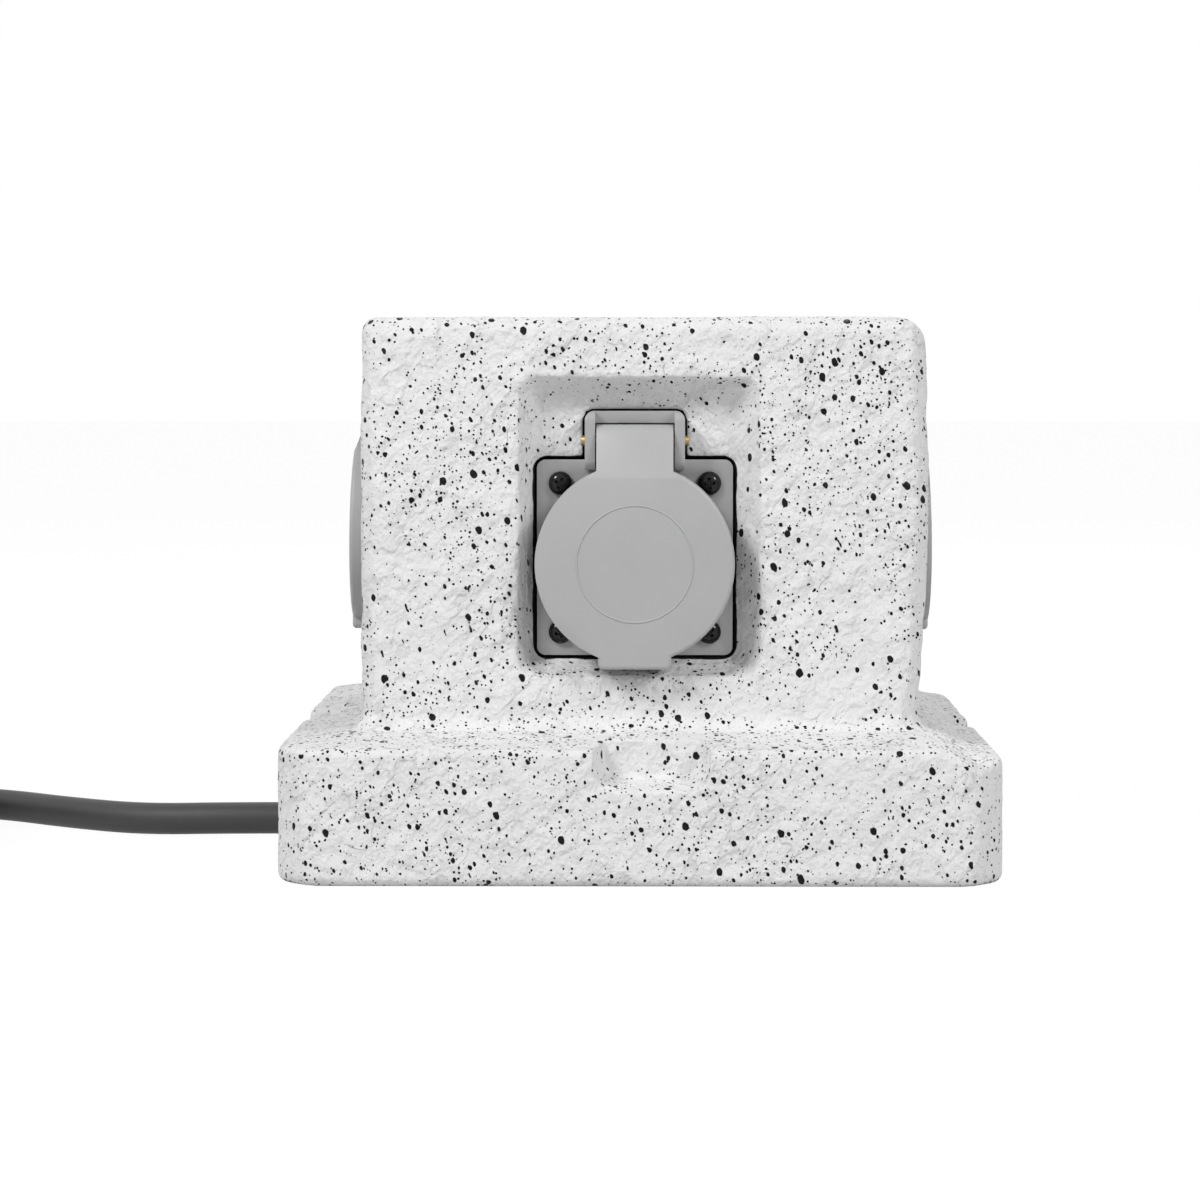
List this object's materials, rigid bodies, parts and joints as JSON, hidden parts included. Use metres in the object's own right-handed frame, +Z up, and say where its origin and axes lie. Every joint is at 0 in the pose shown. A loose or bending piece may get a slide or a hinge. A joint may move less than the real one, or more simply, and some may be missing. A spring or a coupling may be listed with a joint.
{
  "type": "garden socket",
  "caption": "Cast-stone garden socket block on a square plinth, with a panel socket under a sprung hinged lid on each side and a rubber lead with plug.",
  "frame": {"origin": "on the ground under the middle of the stone's foot", "axes": "+Z up, the face that the picture shows looks along -Y, and the lead leaves along -X"},
  "size_m": [0.4014, 0.2431, 0.142],
  "materials": {
    "cast_stone": "rough white cast stone with black spatter",
    "frame_plastic": "fine satin moulding, mid grey",
    "lid_plastic": "fine satin moulding, mid grey",
    "insert_plastic": "dull black",
    "seal_rubber": "dull",
    "black_screw": "glossy black",
    "contact_brass": "bright",
    "pin_brass": "drawn",
    "earth_metal": "tinned",
    "spring_steel": "drawn wire",
    "wire_sheath": "smooth sheath in wiring colours",
    "plate_metal": "zinc grey",
    "zinc_screw": "zinc plated",
    "block_plastic": "cream moulding",
    "cord_rubber": "dull, faintly ribbed by its cores",
    "plug_rubber": "dull moulded rubber",
    "plug_metal": "nickel plated"
  },
  "bodies": {
    "root": {"front_socket_frame": "frame_plastic", "front_flange_gasket": "seal_rubber", "front_flange_screws": "black_screw", "front_contact_carrier": "insert_plastic", "front_pin_contacts": "contact_brass", "front_earth_clips": "earth_metal", "front_hinge_pin": "pin_brass", "front_lid_spring": "spring_steel", "front_wires": "wire_sheath", "right_socket_frame": "frame_plastic", "right_flange_gasket": "seal_rubber", "right_flange_screws": "black_screw", "right_contact_carrier": "insert_plastic", "right_pin_contacts": "contact_brass", "right_earth_clips": "earth_metal", "right_hinge_pin": "pin_brass", "right_lid_spring": "spring_steel", "right_wires": "wire_sheath", "back_socket_frame": "frame_plastic", "back_flange_gasket": "seal_rubber", "back_flange_screws": "black_screw", "back_contact_carrier": "insert_plastic", "back_pin_contacts": "contact_brass", "back_earth_clips": "earth_metal", "back_hinge_pin": "pin_brass", "back_lid_spring": "spring_steel", "back_wires": "wire_sheath", "left_socket_frame": "frame_plastic", "left_flange_gasket": "seal_rubber", "left_flange_screws": "black_screw", "left_contact_carrier": "insert_plastic", "left_pin_contacts": "contact_brass", "left_earth_clips": "earth_metal", "left_hinge_pin": "pin_brass", "left_lid_spring": "spring_steel", "left_wires": "wire_sheath", "stone_body": "cast_stone", "base_plate": "plate_metal", "base_screws": "zinc_screw", "connection_block": "block_plastic", "terminal_screws": "zinc_screw", "feeder_wires": "wire_sheath", "cord_sleeve": "cord_rubber", "cord_inner": "cord_rubber", "cord_clamp": "block_plastic", "clamp_screws": "zinc_screw", "cord_run": "cord_rubber", "cord_coil": "cord_rubber", "cord_tail": "cord_rubber", "plug_body": "plug_rubber", "plug_pins": "plug_metal", "plug_earth_strips": "plug_metal"},
    "front_cover": {"front_lid": "lid_plastic", "front_lid_seal": "seal_rubber"},
    "right_cover": {"right_lid": "lid_plastic", "right_lid_seal": "seal_rubber"},
    "back_cover": {"back_lid": "lid_plastic", "back_lid_seal": "seal_rubber"},
    "left_cover": {"left_lid": "lid_plastic", "left_lid_seal": "seal_rubber"}
  },
  "joints": [
    {"name": "front_lid_hinge", "type": "hinge", "parent": "root", "child": "front_cover", "pos_m": [0, -0.0691, 0.11076], "axis": [-1, 0, 0], "range_deg": [0, 105], "stiffness_Nm_per_rad": 0.02, "springref_deg": -28.65},
    {"name": "right_lid_hinge", "type": "hinge", "parent": "root", "child": "right_cover", "pos_m": [0.0691, 0, 0.11576], "axis": [0, -1, 0], "range_deg": [0, 105], "stiffness_Nm_per_rad": 0.02, "springref_deg": -28.65},
    {"name": "back_lid_hinge", "type": "hinge", "parent": "root", "child": "back_cover", "pos_m": [0, 0.0691, 0.11076], "axis": [1, 0, 0], "range_deg": [0, 105], "stiffness_Nm_per_rad": 0.02, "springref_deg": -28.65},
    {"name": "left_lid_hinge", "type": "hinge", "parent": "root", "child": "left_cover", "pos_m": [-0.0691, 0, 0.11576], "axis": [0, 1, 0], "range_deg": [0, 105], "stiffness_Nm_per_rad": 0.02, "springref_deg": -28.65}
  ]
}
